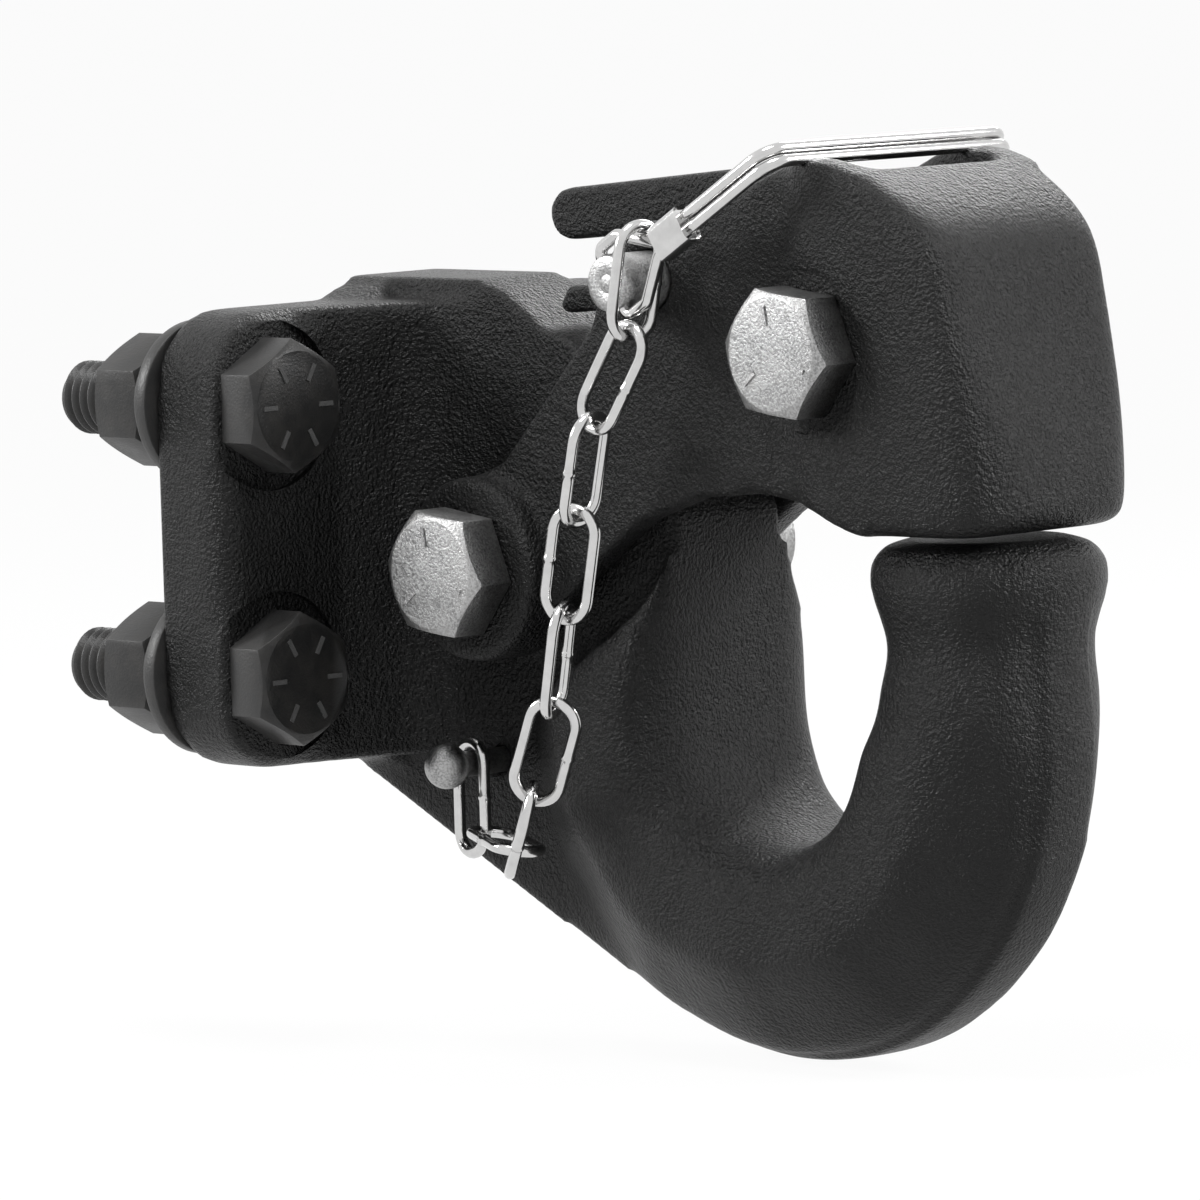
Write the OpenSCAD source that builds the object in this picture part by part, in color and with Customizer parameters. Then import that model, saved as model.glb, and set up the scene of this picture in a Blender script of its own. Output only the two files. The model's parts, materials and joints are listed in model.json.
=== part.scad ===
// Forged pintle hook with a hinged jaw, a jaw lock, a safety pin on a chain and its mounting bolts.
// Origin at the middle of the plate's back face, +X forward to the horn, +Z up.

/* [Mounting plate] */
// Width across the plate
plate_w = 108; // [102:1:116]
// Height of the plate at its sides
plate_h = 75; // [72:1:82]
// Thickness of the plate at its rim
plate_t = 11; // [8:0.5:13]
// Corner radius of the plate
plate_corner_r = 13; // [8:0.5:16]
// Thickness under each bolt head
pad_t = 14.4; // [13.4:0.2:16]
// Diameter of the flat pad under each bolt head
pad_d = 28; // [26:0.5:30]
// Bolt spacing across
bolt_pitch_y = 85.72; // [82:0.01:88]
// Bolt spacing up and down
bolt_pitch_z = 44.45; // [42:0.05:46]

/* [Fasteners] */
// Shank diameter of every large bolt
bolt_d = 12.7; // [11.5:0.1:13.5]
// Width across flats of heads and nuts
head_af = 19.05; // [18:0.05:20]
// Height of a bolt head
head_h = 7.9; // [7:0.1:9]
// Length of a mounting bolt under its head
mount_bolt_len = 44.45; // [40:0.05:52]
// How much slimmer than the shank a bolt's thread is
thread_slim = 0.8; // [0.7:0.05:1.2]
// Height of a mounting nut
nut_h = 11.1; // [10:0.1:12]
// Outside diameter of a flat washer
washer_od = 27; // [24:0.5:28]
// Thickness of a flat washer
washer_t = 2.5; // [2:0.1:3]
// Outside diameter of a spring washer
spring_washer_od = 21.5; // [20.5:0.1:22.5]
// Thickness of a spring washer
spring_washer_t = 3.2; // [2.6:0.1:3.8]
// Height of a lock nut
lock_nut_h = 15; // [13:0.5:17]
// Thickness of a lock nut's nylon ring
insert_t = 3; // [2:0.1:3.5]

/* [Hook] */
// Distance from the plate's back to the throat's centre
throat_x = 97; // [94:0.5:100]
// Depth of the throat's centre below the plate's middle
throat_drop = 28.5; // [26:0.5:31]
// Radius of the throat where the ring sits
throat_r = 20; // [18:0.5:21]
// Radius of the hook's outside
hook_r = 55; // [53:0.5:57]
// Width of the hook's bend
bend_w = 38; // [36:0.5:41]
// Diameter of the horn
horn_d = 35; // [33:0.5:37]
// Diameter of the horn's cap
horn_cap_d = 37.4; // [36:0.2:39]
// Height of the horn's top above the plate's middle
horn_top_z = 2; // [0:0.2:2.2]

/* [Neck] */
// Width of the neck's web
web_w = 20; // [17:0.5:22]
// Height of the neck's top
neck_top_z = 41; // [39.6:0.2:41.4]
// Depth of the plate's lower edge at the middle
neck_bottom_z = 41.5; // [40:0.5:43]
// Width of the pillar between the jaw's cheeks
pillar_w = 25; // [22:0.5:26]
// Width of the saddle behind the throat
saddle_w = 45; // [42:0.5:47]

/* [Jaw] */
// Distance from the plate's back to the jaw's pivot
pivot_x = 43; // [42:0.2:44]
// Depth of the jaw's pivot below the plate's middle
pivot_drop = 5; // [4:0.2:6]
// Diameter of the jaw's pivot bosses
boss_d = 30; // [27:0.5:31]
// Width over the pivot bosses
boss_w = 52.5; // [50:0.5:55]
// Width over the jaw's cheeks
cheek_w = 42; // [41:0.2:44]
// Thickness of a cheek
cheek_t = 6.5; // [5.5:0.1:7]
// Width of the jaw's nose
nose_w = 44.8; // [44.2:0.2:46]
// Distance from the plate's back to the nose's front
nose_front_x = 151; // [149:0.5:154]
// Height of the jaw's top
jaw_top_z = 60.4; // [59:0.2:60.6]
// Radius of the nose's upright corners
nose_corner_r = 10; // [7:0.5:12]
// Radius of the nose's upper front edge
nose_brow_r = 11; // [8:0.5:14]

/* [Lock] */
// Distance from the plate's back to the lock's pivot
lock_x = 115; // [114:0.2:116]
// Height of the lock's pivot
lock_z = 32; // [31:0.2:33]
// Diameter of the lock's hub
hub_d = 21; // [19:0.5:22]
// Width of the lock's arms
lock_w = 8; // [7:0.5:10]
// Height of the lock's tail
tail_h = 8.5; // [7.5:0.1:9.5]
// Wire diameter of the lock's spring
spring_wire_d = 2; // [1.6:0.1:2.4]
// Depth of the flat cut round each lock bolt end
seat_depth = 0.6; // [0.4:0.1:1]
// Diameter of the flat cut round each lock bolt end
seat_d = 26; // [24.5:0.5:28]

/* [Safety pin] */
// Diameter of the safety pin
pin_d = 9.5; // [8.5:0.1:9.8]
// Distance from the plate's back to the pin
pin_x = 81; // [80.4:0.2:81.6]
// Height of the pin
pin_z = 42.4; // [42:0.2:43]
// How far the pin stands out of the near cheek
pin_out = 9; // [8.5:0.1:9.5]
// How far the pin's tip stands out of the far cheek
pin_tip_out = 5.5; // [4.5:0.5:7]
// Wire diameter of the bail
bail_wire_d = 2; // [1.6:0.1:2.2]
// Reach of the bail's legs
bail_reach = 40.6; // [39.5:0.2:42]
// Tilt of the bail's legs above level
bail_tilt = 30.5; // [30:0.5:33]
// How far the bail's far leg stands off the middle
bail_far_y = 27; // [26:0.5:29]
// Length of the ferrule that ties the bail's wires
ferrule_len = 7; // [5:0.5:9]

/* [Chain] */
// Spacing of the chain's links
link_pitch = 16; // [15.6:0.1:16.4]
// Wire diameter of the chain
chain_wire_d = 1.9; // [1.6:0.1:2.1]
// Width over a link
link_w = 9.6; // [9:0.1:10.5]
// Diameter of the anchor screw's ball head
ball_d = 9; // [8:0.1:10]
// Diameter of the anchor screw's neck
anchor_neck_d = 4.2; // [3.8:0.1:4.4]

/* [Fits] */
// Radial room of a turning fit
run_clear = 0.08; // [0.03:0.01:0.1]
// Room between pieces that move past each other
move_gap = 0.3; // [0.25:0.05:0.4]
// Radial room of a mounting bolt in its hole
hole_clear = 0.4; // [0.2:0.05:0.6]
// Room between linked wires
link_gap = 0.2; // [0.15:0.05:0.3]

/* [Hidden] */
$fn = 48;
LINKS = 9;

CAST = [0.13, 0.13, 0.14];
ZINC = [0.78, 0.79, 0.81];
OXIDE = [0.2, 0.2, 0.22];
STEEL = [0.6, 0.61, 0.63];
NYLON = [0.85, 0.86, 0.8];

throat = [throat_x, -throat_drop];
pivot = [pivot_x, -pivot_drop];
lock_pivot = [lock_x, lock_z];
pin_at = [pin_x, pin_z];
bolt_r = bolt_d / 2;
mount_grip = pad_t + washer_t + spring_washer_t + nut_h;
web_half = web_w / 2;
cheek_half = cheek_w / 2;
cheek_in = cheek_half - cheek_t;
boss_half = boss_w / 2;
nose_half = nose_w / 2;
seat_half = cheek_half - seat_depth;
far_past = 40;

// The catch notch in the neck's top, the ramp behind it and the slope before it
notch_floor_z = neck_top_z - 8;
ramp_top_x = 30;
ramp_mid = [36.5, neck_top_z - 2];
notch_back_x = 45.5;
notch_front_x = 48;

// The saddle's rim in the side view, and its flank from the front
saddle_top_z = 7;
saddle_rim = [
    [40, -throat_drop], [52, -25.5], [60, -20.5], [67, -15.5],
    [73, -11], [76, -5], [78, 2], [79, saddle_top_z]];
saddle_flare = [
    [saddle_w / 2 + 1, -throat_drop], [saddle_w / 2, -19], [19, -11.5],
    [16, -6], [13.6, 0], [11, saddle_top_z]];

// The lock's tail and its tooth, as places in the side view
tail_end = [46, 51.5];
tail_root = [89, 55.5];
tooth_back_x = 43.6;
tooth_front_x = 51.5;
tooth_foot_z = notch_floor_z + 2.2;
tooth_top_z = 40;

// The spring's coils lie beside the hub, round its narrow end
hub_sleeve_r = bolt_r + 1.6;
coil_r = hub_sleeve_r + move_gap + spring_wire_d / 2;
COILS = 4;
hub_wide_y = cheek_in - move_gap - COILS * spring_wire_d - 0.6;

pin_near_y = -cheek_half - pin_out;
pin_tip_y = cheek_half + pin_tip_out;
eye_y = pin_near_y + 1.6;
eye_spread = pin_d / 2 + bail_wire_d / 2 + 0.35;
wire_apart = bail_wire_d / 2 + 0.1;
ferrule_at = 16;

// Lean of each link from straight down towards the plate, and its drift towards the middle
link_lean = [6, 30, 18, 12, 14, 26, 40, 95, 175];
link_drift = [-6, -6, 5, 0, 3, 4, 18, 25, 5];
// Turn of the first link from the hook's length, and the twist of each next one out of square to the last
first_turn = 80;
link_twist = -9;
link_r = chain_wire_d / 2;
link_bend_r = link_w / 2 - link_r;
link_straight = link_pitch + chain_wire_d + link_gap - 2 * link_bend_r;

function mirrored(p) = [-p[0], p[1]];
function turn(p, a) = [p[0] * cos(a) - p[1] * sin(a), p[0] * sin(a) + p[1] * cos(a)];
function arc(c, r, a0, a1, n) =
    [for (i = [0:n]) let (a = a0 + (a1 - a0) * i / n) c + r * [cos(a), sin(a)]];
function bend_half(t) = bend_w / 2 + (saddle_w - bend_w) / 2 * max(0, 1 - t);
function bail_point(l, n, y) =
    let (p = pin_at + turn([l, n], bail_tilt))
    [p[0], y, p[1]];
function link_dir(i) =
    [-sin(link_lean[i]) * cos(link_drift[i]), sin(link_drift[i]), -cos(link_lean[i]) * cos(link_drift[i])];
// The chain hangs from the upper wire of the bail's eye, between the pin and the ferrule
hang_l = 9.2;
eye_end_l = 4.6;
leg_lead = 1.8;
leg_start_l = ferrule_at - ferrule_len / 2 - leg_lead;
hang_share = (hang_l - eye_end_l) / (leg_start_l + 1 - eye_end_l);
hang_n = eye_spread + 0.2 + (wire_apart - eye_spread - 0.2) * hang_share;
hang_at = bail_point(hang_l, hang_n, eye_y);
// Direction across a link's width, made crosswise to the link before it, and the normal of its plane
function square_to(p, v) =
    let (q = p - (p * v) * v)
    q / norm(q);
function link_across(i) =
    i == 0 ? square_to([cos(first_turn), sin(first_turn), 0], link_dir(0)) :
    let (v = link_dir(i), u = square_to(link_normal(i - 1), v))
    cos(link_twist) * u + sin(link_twist) * cross(v, u);
function link_normal(i) = cross(link_dir(i), link_across(i));
// Middles of the bends at a link's two ends
function link_head(i) =
    i == 0 ? hang_at + (link_bend_r - link_r - bail_wire_d / 2 - link_gap) * link_dir(0) :
    let (p = square_to(link_dir(i), link_normal(i - 1)))
    link_tail(i - 1) + (2 * link_bend_r - chain_wire_d - link_gap) * p;
function link_tail(i) = link_head(i) + link_straight * link_dir(i);
// The anchor screw's neck stands inside the last link's end
last_tail = link_tail(LINKS - 1);
anchor_in = last_tail
    + (link_bend_r - link_r - anchor_neck_d / 2 - 2 * link_gap) * link_dir(LINKS - 1);
anchor_at = [anchor_in[0], anchor_in[2]];

// Children drawn in the side view, given a width across the middle
module across(w) {
    rotate([90, 0, 0])
        linear_extrude(w, center = true)
            children();
}

// Children drawn from the front, given a depth from the plate's back
module forward(t) {
    rotate([90, 0, 90])
        linear_extrude(t)
            children();
}

// A round bar across the middle at a place in the side view
module bar_across(at, y0, y1, d) {
    translate([at[0], y1, at[1]])
        rotate([90, 0, 0])
            cylinder(h = y1 - y0, d = d);
}

module wire(a, b, d) {
    v = b - a;
    translate(a)
        rotate([0, acos(v[2] / norm(v)), atan2(v[1], v[0])])
            cylinder(h = norm(v), d = d, $fn = 24);
}

// A hexagon with its outer end chamfered, from z = 0 up
module hexagon(h) {
    intersection() {
        cylinder(h = h, d = head_af / cos(30), $fn = 6);
        cylinder(h = h, r1 = head_af * 0.47 + h * 1.7, r2 = head_af * 0.47);
    }
}

// A bolt with its head's seat at z = 0, its shank going down and a bevelled thread past the nut
module hex_bolt(grip, thread) {
    thread_d = bolt_d - thread_slim;
    tip = 1.4;
    hexagon(head_h);
    translate([0, 0, -grip])
        cylinder(h = grip + 1, d = bolt_d);
    translate([0, 0, tip - grip - thread])
        cylinder(h = thread - tip + 1, d = thread_d);
    translate([0, 0, -grip - thread])
        cylinder(h = tip, d1 = thread_d - 2 * tip, d2 = thread_d);
}

module bolt_ring(od, t) {
    difference() {
        cylinder(h = t, d = od);
        translate([0, 0, -1])
            cylinder(h = t + 2, r = bolt_r + hole_clear);
    }
}

// Children at each mounting bolt, with z along +X
module at_bolts(x) {
    for (y = [-1, 1], z = [-1, 1])
        translate([x, y * bolt_pitch_y / 2, z * bolt_pitch_z / 2])
            rotate([0, 90, 0])
                children();
}

module plate_outline() {
    inner_w = plate_w - 2 * plate_corner_r;
    inner_h = plate_h - 2 * plate_corner_r;
    square([plate_w, inner_h], center = true);
    square([inner_w, plate_h], center = true);
    for (y = [-1, 1], z = [-1, 1])
        translate([y * inner_w / 2, z * inner_h / 2])
            circle(plate_corner_r);
    intersection() {
        circle(neck_bottom_z);
        square([plate_w, 2 * neck_top_z], center = true);
    }
}

// Neck in the side view: top, catch notch, front slope, throat and straight underside
module neck_outline() {
    polygon(concat(
        [[0, neck_top_z], [ramp_top_x, neck_top_z], ramp_mid],
        [[notch_back_x, notch_floor_z], [notch_front_x, notch_floor_z]],
        [[56, notch_floor_z - 4], [66, 20.5], [72, 14], [throat_x - throat_r, 4]],
        [throat - [throat_r, 0], throat + hook_r * [cos(243), sin(243)]],
        [[0, -neck_bottom_z]]));
}

// Plan of the plate's shoulders as they run into the web
module shoulder_plan() {
    half = plate_w / 2 - plate_corner_r / 3;
    side = [[0, half], [plate_t, half], [pad_t + 0.6, 30], [19, 18], [24, web_half + 2.5], [34, web_half]];
    polygon(concat(side, [for (i = [len(side) - 1:-1:0]) [side[i][0], -side[i][1]]]));
}

// Section of the bend: round towards the ring, with bevels to a narrow spine outside
module bend_section(half, inset = 0) {
    near = throat_r + inset;
    far = hook_r - inset;
    side = [
        [near, half - 8], [near + 2, half - 3], [near + 6, half],
        [far - 16, half], [far - 5, half - 8], [far, half - 12]];
    polygon(concat(side, [for (i = [len(side) - 1:-1:0]) [side[i][0], -side[i][1]]]));
}

// The bend narrows in even steps from the saddle behind the throat to the horn.
// Each step starts inside the one before it and is a little slimmer all round.
module bend() {
    steps = 5;
    sweep = 30;
    lap = 3;
    inset = 0.06;
    translate([throat[0], 0, throat[1]])
        rotate([90, 0, 0])
            for (k = [0:steps - 1])
                rotate([0, 0, 180 + k * sweep - (k == 0 ? 0 : lap)])
                    rotate_extrude(angle = (k == steps - 1 ? 2 * sweep : sweep) + (k == 0 ? 0 : lap))
                        bend_section(bend_half(k / (steps - 1)), k * inset);
}

// The saddle behind the throat: it rises to the pillar in front, falls away under the cheeks behind
// and flares from the pillar's width to its own
module saddle() {
    foot = -throat_drop;
    intersection() {
        translate([throat[0], 0, foot])
            rotate([0, 0, 180])
                linear_extrude(saddle_top_z - foot)
                    bend_section(saddle_w / 2);
        across(plate_w)
            polygon(concat(saddle_rim, [[throat_x, saddle_top_z], [throat_x, foot]]));
        forward(throat_x)
            polygon(concat(saddle_flare, [for (i = [len(saddle_flare) - 1:-1:0]) mirrored(saddle_flare[i])]));
    }
}

module horn() {
    r = horn_d / 2;
    cap = horn_cap_d / 2;
    top = horn_top_z + throat_drop;
    translate([throat_x + (throat_r + hook_r) / 2 - 0.5, 0, throat[1]])
        rotate_extrude()
            polygon([
                [0, -4], [r - 2, -4], [r + 0.8, 0], [r, 8], [r, top - 12], [cap, top - 8],
                [cap, top - 4], [cap - 2, top - 1.2], [cap - 6, top], [0, top]]);
}

module hook_base() {
    color(CAST)
        difference() {
            union() {
                forward(plate_t)
                    plate_outline();
                intersection() {
                    forward(pad_t)
                        plate_outline();
                    at_bolts(0)
                        cylinder(h = pad_t, d = pad_d);
                }
                intersection() {
                    translate([0, 0, -plate_h / 2])
                        linear_extrude(plate_h)
                            shoulder_plan();
                    forward(far_past)
                        plate_outline();
                }
                across(web_w)
                    neck_outline();
                intersection() {
                    across(pillar_w)
                        neck_outline();
                    translate([54, -pillar_w / 2, -throat_drop])
                        cube([throat_x - 54, pillar_w, 100]);
                }
                saddle();
                bar_across(pivot, -cheek_in + move_gap, cheek_in - move_gap, boss_d - 2);
                bend();
                horn();
            }
            bar_across(pivot, -far_past, far_past, bolt_d + 2 * run_clear);
            at_bolts(-1)
                cylinder(h = far_past, r = bolt_r + hole_clear);
            at_bolts(pad_t)
                cylinder(h = far_past, d = pad_d);
            bar_across(anchor_at, -far_past, -web_half + 6, anchor_neck_d);
        }
}

module mounting_bolts() {
    color(OXIDE)
        at_bolts(pad_t)
            hex_bolt(mount_grip, mount_bolt_len - mount_grip);
}

module mounting_washers() {
    color(OXIDE)
        at_bolts(-washer_t)
            bolt_ring(washer_od, washer_t);
}

// Spring washers with their slanted split
module mounting_lock_washers() {
    split = 1.2;
    color(OXIDE)
        at_bolts(-washer_t - spring_washer_t)
            difference() {
                bolt_ring(spring_washer_od, spring_washer_t);
                translate([0, spring_washer_od / 2, spring_washer_t / 2])
                    rotate([0, 25, 0])
                        cube([split, spring_washer_od, 3 * spring_washer_t], center = true);
            }
}

module mounting_nuts() {
    color(OXIDE)
        at_bolts(-washer_t - spring_washer_t - nut_h)
            difference() {
                intersection() {
                    translate([0, 0, nut_h])
                        mirror([0, 0, 1])
                            hexagon(nut_h);
                    hexagon(nut_h);
                }
                translate([0, 0, -1])
                    cylinder(h = nut_h + 2, d = bolt_d);
            }
}

// A bolt along the width with its head's seat at y = -half
module cross_bolt(at, half) {
    translate([at[0], -half, at[1]])
        rotate([90, 8, 0])
            hex_bolt(2 * half + lock_nut_h, 2);
}

// A nut with a nylon ring held in its round collar, from y = half
module nylon_nut(at, half) {
    collar_r = head_af * 0.46;
    hex_h = lock_nut_h - insert_t - 1;
    translate([at[0], half, at[1]])
        rotate([-90, 20, 0])
            difference() {
                union() {
                    hexagon(hex_h);
                    cylinder(h = lock_nut_h, r = collar_r);
                }
                translate([0, 0, -1])
                    cylinder(h = lock_nut_h + 2, d = bolt_d);
                translate([0, 0, lock_nut_h - insert_t - 0.6])
                    cylinder(h = insert_t, r = bolt_r + 1.4);
            }
}

module nylon_ring(at, half) {
    translate([at[0], half + lock_nut_h - insert_t - 0.6, at[1]])
        rotate([-90, 0, 0])
            difference() {
                cylinder(h = insert_t, r = bolt_r + 1.4);
                translate([0, 0, -1])
                    cylinder(h = insert_t + 2, d = bolt_d);
            }
}

module pivot_bolt() {
    color(ZINC)
        cross_bolt(pivot, boss_half + move_gap);
}

module pivot_nut() {
    color(ZINC)
        nylon_nut(pivot, boss_half + move_gap);
}

module pivot_nut_insert() {
    color(NYLON)
        nylon_ring(pivot, boss_half + move_gap);
}

// Jaw in the side view, from the pivot up over the pin to the nose
module jaw_outline() {
    top = jaw_top_z;
    front = nose_front_x;
    brow = nose_brow_r;
    polygon(concat(
        [[36, -18], [46, -19.5], [57, -12], [65, -5], [77, 3.6], [90, 8], [104, 9], [115, 7]],
        [[125, horn_top_z + 1.2], [front - 5, horn_top_z + 1]],
        arc([front - 5, horn_top_z + 6], 5, 270, 360, 5),
        arc([front - brow, top - brow], brow, 0, 90, 8),
        [[112, top], [90, pin_z + pin_d + 1]],
        arc(pin_at, pin_d, 75, 165, 6),
        [[67.5, 34.6], [47, 12.6], [40, 9.5]]));
}

module nose_plan() {
    r = nose_corner_r;
    polygon(concat(
        [[111, -cheek_half], [117, -nose_half]],
        arc([nose_front_x - r, r - nose_half], r, 270, 360, 8),
        arc([nose_front_x - r, nose_half - r], r, 0, 90, 8),
        [[117, nose_half], [111, cheek_half], [20, cheek_half], [20, -cheek_half]]));
}

module jaw() {
    room_front_x = lock_x + 12;
    color(CAST)
        difference() {
            union() {
                intersection() {
                    across(2 * nose_w)
                        jaw_outline();
                    translate([0, 0, -far_past])
                        linear_extrude(jaw_top_z + 2 * far_past)
                            nose_plan();
                }
                bar_across(pivot, -boss_half, boss_half, boss_d);
            }
            // Room for the neck and the lock between the cheeks
            across(2 * cheek_in)
                polygon([
                    [0, -far_past], [99, -far_past], [103, 15], [room_front_x, 15],
                    [room_front_x, jaw_top_z - 8], [lock_x + 5, jaw_top_z + 10], [0, jaw_top_z + 10]]);
            bar_across(pivot, -far_past, far_past, bolt_d + 2 * run_clear);
            bar_across(lock_pivot, -far_past, far_past, bolt_d + 2 * run_clear);
            bar_across(pin_at, -far_past, far_past, pin_d + 2 * run_clear);
            for (y = [-far_past, seat_half])
                bar_across(lock_pivot, y, y + far_past - (y < 0 ? seat_half : 0), seat_d);
            spring_anchor_hole();
        }
}

// Lock in the side view: a tail over the pin and an arm under it that ends in the tooth
module lock_outline() {
    half = tail_h / 2;
    arm_top_z = pin_z - 17.2;
    slope = atan2(tail_root[1] - tail_end[1], tail_root[0] - tail_end[0]);
    polygon(concat(
        arc(tail_end, half, slope + 90, slope + 270, 8),
        [tail_root + turn([0, -half], slope), [93, 47], [93.5, 33], [88, arm_top_z + 0.8]],
        [[pin_x, arm_top_z], [73, 27], [62, 33.6], [tooth_front_x + 2, tooth_top_z - 1]],
        [[tooth_front_x, tooth_top_z], [tooth_back_x + 2, tooth_top_z], [tooth_back_x, tooth_top_z - 3]],
        [[tooth_back_x, tooth_foot_z + 1], [tooth_back_x + 1, tooth_foot_z]],
        [[tooth_front_x, tooth_foot_z + 0.6], [61, 29.5], [71, 22.5], [82, 18.5]],
        [[lock_x - 12, 19.5], [lock_x - 4, lock_z - hub_d / 2 + 2], [lock_x + 6, lock_z + hub_d / 2 - 4]],
        [[lock_x - 9, 56.5], [lock_x - 17, 60.5], tail_root + turn([0, half], slope)]));
}

module lock_lever() {
    color(CAST)
        difference() {
            union() {
                across(lock_w)
                    lock_outline();
                bar_across(lock_pivot, -cheek_in + move_gap, hub_wide_y, hub_d);
                bar_across(lock_pivot, 0, cheek_in - move_gap, 2 * hub_sleeve_r);
                bar_across(stud_at, 0, spring_back_y + spring_wire_d, stud_d);
            }
            bar_across(lock_pivot, -far_past, far_past, bolt_d + 2 * run_clear);
        }
}

module lock_bolt() {
    color(ZINC)
        cross_bolt(lock_pivot, seat_half);
}

module lock_nut() {
    color(ZINC)
        nylon_nut(lock_pivot, seat_half);
}

module lock_nut_insert() {
    color(NYLON)
        nylon_ring(lock_pivot, seat_half);
}

// The spring's front leg goes into a hole in the nose, and its back leg lies over a stud on the lock's arm
spring_front_y = cheek_in - move_gap - spring_wire_d / 2 - 0.1;
spring_hole_x = lock_x + 16;
spring_leg_len = 26;
coil_step = spring_wire_d * 0.94;
spring_back_y = spring_front_y - (COILS - 1) * coil_step;
spring_leg_d = spring_wire_d * 0.9;
stud_d = 4;
stud_at = [lock_x - spring_leg_len + 3, lock_z - coil_r - (spring_leg_d + stud_d) / 2 - move_gap / 2];

module spring_anchor_hole() {
    translate([lock_x + 8, spring_front_y, lock_z + coil_r])
        rotate([0, 90, 0])
            cylinder(h = spring_hole_x - lock_x - 8, d = spring_leg_d);
}

module lock_spring() {
    top = lock_z + coil_r;
    low = lock_z - coil_r;
    color(STEEL)
        union() {
            translate([lock_x, spring_front_y, lock_z])
                rotate([90, 0, 0])
                    rotate_extrude()
                        for (i = [0:COILS - 1])
                            translate([coil_r, i * coil_step])
                                circle(d = spring_wire_d, $fn = 20);
            wire([lock_x, spring_front_y, top], [spring_hole_x, spring_front_y, top], spring_leg_d);
            wire([lock_x, spring_back_y, low], [lock_x - spring_leg_len, spring_back_y, low], spring_leg_d);
        }
}

module safety_pin() {
    color(STEEL)
        difference() {
            union() {
                bar_across(pin_at, pin_near_y + 1, pin_tip_y - 3, pin_d);
                translate([pin_x, pin_near_y + 1, pin_z])
                    rotate([90, 0, 0])
                        cylinder(h = 1, d1 = pin_d, d2 = pin_d - 2);
                translate([pin_x, pin_tip_y - 3, pin_z])
                    rotate([-90, 0, 0])
                        cylinder(h = 3, d1 = pin_d, d2 = pin_d * 0.5);
            }
            wire(bail_point(0, -pin_d, eye_y), bail_point(0, pin_d, eye_y), bail_wire_d + 2 * run_clear);
        }
}

// One wire: through the pin, through the ferrule, over the jaw and down to the pin's tip, then back
module bail_wire() {
    end_l = pin_d / 2 + bail_wire_d;
    bend_r = 4;
    eye_d = bail_wire_d * 0.96;
    function local(l, n) = [l, eye_y, n];
    color(STEEL)
        translate([pin_x, 0, pin_z])
            rotate([0, -bail_tilt, 0])
                union() {
                    wire(local(0, -eye_spread), local(0, eye_spread), bail_wire_d);
                    for (n = [-1, 1]) {
                        eye = n * eye_spread;
                        wire(local(-bail_wire_d / 2, eye), local(eye_end_l + 0.8, eye), eye_d);
                        wire(local(eye_end_l, eye + n * 0.2),
                             local(leg_start_l + 1, n * wire_apart), eye_d * 0.95);
                        translate([0, 0, n * wire_apart]) {
                            wire([leg_start_l, eye_y, 0], [bail_reach - bend_r, eye_y, 0], bail_wire_d);
                            translate([bail_reach - bend_r, eye_y + bend_r, 0])
                                wire_bend(bend_r, 270, 90);
                            wire([bail_reach, eye_y + bend_r, 0],
                                 [bail_reach, bail_far_y - bend_r, 0], bail_wire_d);
                            translate([bail_reach - bend_r, bail_far_y - bend_r, 0])
                                wire_bend(bend_r, 0, 90);
                            wire([bail_reach - bend_r, bail_far_y, 0], [end_l, bail_far_y, 0], bail_wire_d);
                        }
                    }
                    translate([end_l, bail_far_y, 0])
                        rotate([90, 0, 0])
                            wire_bend(wire_apart, 90, 180);
                }
}

// A stretch of bail wire bent round the origin, flat on z = 0
module wire_bend(r, from, sweep) {
    rotate([0, 0, from])
        rotate_extrude(angle = sweep)
            translate([r, 0])
                circle(d = bail_wire_d, $fn = 24);
}

// Flat sleeve pressed round both wires
module bail_ferrule() {
    wall = 0.9;
    crimp_room = 0.04;
    high = 2 * wire_apart + bail_wire_d + 2 * wall;
    deep = bail_wire_d + 2 * wall;
    color(STEEL)
        difference() {
            translate([pin_x, eye_y, pin_z])
                rotate([0, -bail_tilt, 0])
                    translate([ferrule_at - ferrule_len / 2, -deep / 2, -high / 2])
                        cube([ferrule_len, deep, high]);
            for (s = [-1, 1])
                wire(bail_point(ferrule_at - ferrule_len, s * wire_apart, eye_y),
                     bail_point(ferrule_at + ferrule_len, s * wire_apart, eye_y), bail_wire_d + crimp_room);
        }
}

module anchor_screw() {
    ball_y = last_tail[1] - link_r - ball_d / 2;
    at = anchor_at;
    color(ZINC)
        union() {
            bar_across(at, ball_y, -web_half + 6, anchor_neck_d);
            translate([at[0], ball_y, at[1]])
                sphere(d = ball_d);
        }
}

// An oval welded link between its two bends
module chain_link(i) {
    v = link_dir(i);
    roll = atan2(link_normal(i)[2], -link_across(i)[2]);
    half = link_straight / 2;
    color(STEEL)
        translate((link_head(i) + link_tail(i)) / 2)
            rotate([0, acos(v[2]), atan2(v[1], v[0])])
                rotate([0, 0, roll])
                    union() {
                        for (s = [-1, 1]) {
                            translate([s * link_bend_r, 0, -half])
                                cylinder(h = link_straight, d = chain_wire_d, $fn = 20);
                            translate([0, 0, s * half])
                                rotate([90, 0, 0])
                                    rotate([0, 0, s > 0 ? 0 : 180])
                                        rotate_extrude(angle = 180)
                                            translate([link_bend_r, 0])
                                                circle(d = chain_wire_d, $fn = 20);
                        }
                    }
}

hook_base();
mounting_bolts();
mounting_washers();
mounting_lock_washers();
mounting_nuts();
pivot_bolt();
pivot_nut();
pivot_nut_insert();
jaw();
lock_lever();
lock_bolt();
lock_nut();
lock_nut_insert();
lock_spring();
safety_pin();
bail_wire();
bail_ferrule();
anchor_screw();
for (i = [1:LINKS])
    chain_link(i - 1);
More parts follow.
